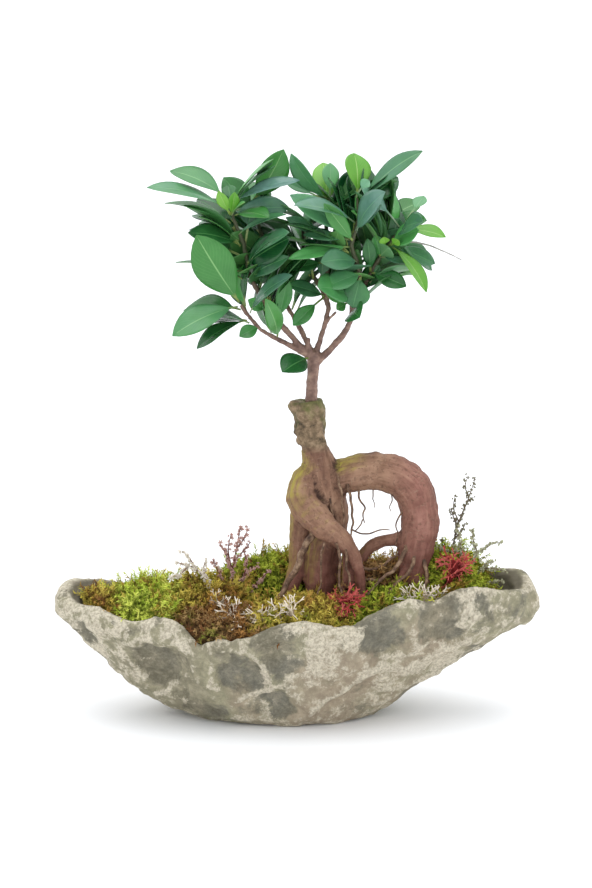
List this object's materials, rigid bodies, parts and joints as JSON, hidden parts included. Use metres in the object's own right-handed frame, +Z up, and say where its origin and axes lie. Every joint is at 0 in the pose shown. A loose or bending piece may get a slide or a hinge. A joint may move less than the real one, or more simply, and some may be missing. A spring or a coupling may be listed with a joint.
{
  "type": "bonsai tree in a pot",
  "caption": "Ginseng-type fig bonsai with an arching swollen rootstock and leafy crown, in a boat-shaped cast-stone bowl dressed with moss, lichen and dried sprigs.",
  "frame": {"origin": "on the underside of the bowl's flat foot, below the middle of the bowl's rim", "axes": "+Z up, +X along the bowl towards its taller right tip (the side the root arch stands on), +Y towards the back"},
  "size_m": [0.3399, 0.1357, 0.3996],
  "materials": {
    "cast_stone": "matte",
    "soil": "matte",
    "root_bark": "matte",
    "shoot_bark": "matte",
    "leaf_mature": "satin",
    "leaf_light": "satin",
    "leaf_young": "satin",
    "moss_green": "matte",
    "moss_gold": "matte",
    "moss_brown": "matte",
    "lichen_white": "matte",
    "lichen_red": "matte",
    "dry_twig": "matte"
  },
  "bodies": {
    "root": {"stone_bowl": "cast_stone", "potting_soil": "soil", "rootstock": "root_bark", "grafted_shoot": "shoot_bark", "leaf_01": "leaf_light", "leaf_02": "leaf_mature", "leaf_03": "leaf_mature", "leaf_04": "leaf_light", "leaf_05": "leaf_mature", "leaf_06": "leaf_mature", "leaf_07": "leaf_mature", "leaf_08": "leaf_light", "leaf_09": "leaf_light", "leaf_10": "leaf_light", "leaf_11": "leaf_mature", "leaf_12": "leaf_mature", "leaf_13": "leaf_light", "leaf_14": "leaf_mature", "leaf_15": "leaf_mature", "leaf_16": "leaf_light", "leaf_17": "leaf_mature", "leaf_18": "leaf_mature", "leaf_19": "leaf_mature", "leaf_20": "leaf_mature", "leaf_21": "leaf_mature", "leaf_22": "leaf_young", "leaf_23": "leaf_young", "leaf_24": "leaf_light", "leaf_25": "leaf_light", "leaf_26": "leaf_mature", "leaf_27": "leaf_light", "leaf_28": "leaf_light", "leaf_29": "leaf_mature", "leaf_30": "leaf_mature", "leaf_31": "leaf_young", "leaf_32": "leaf_mature", "leaf_33": "leaf_young", "leaf_34": "leaf_mature", "leaf_35": "leaf_mature", "leaf_36": "leaf_mature", "moss_left_end": "moss_gold", "moss_left": "moss_green", "moss_left_middle": "moss_gold", "moss_back_left": "moss_green", "moss_back_right": "moss_gold", "moss_right": "moss_green", "moss_under_arch": "moss_brown", "moss_front_left": "moss_brown", "moss_front": "moss_gold", "moss_front_right": "moss_green", "lichen_white_front": "lichen_white", "lichen_white_left": "lichen_white", "lichen_white_right": "lichen_white", "lichen_red_front": "lichen_red", "lichen_red_right": "lichen_red", "sprig_right_tall": "dry_twig", "sprig_right_low": "dry_twig", "sprig_left": "dry_twig", "twig_left": "dry_twig"}
  },
  "joints": []
}
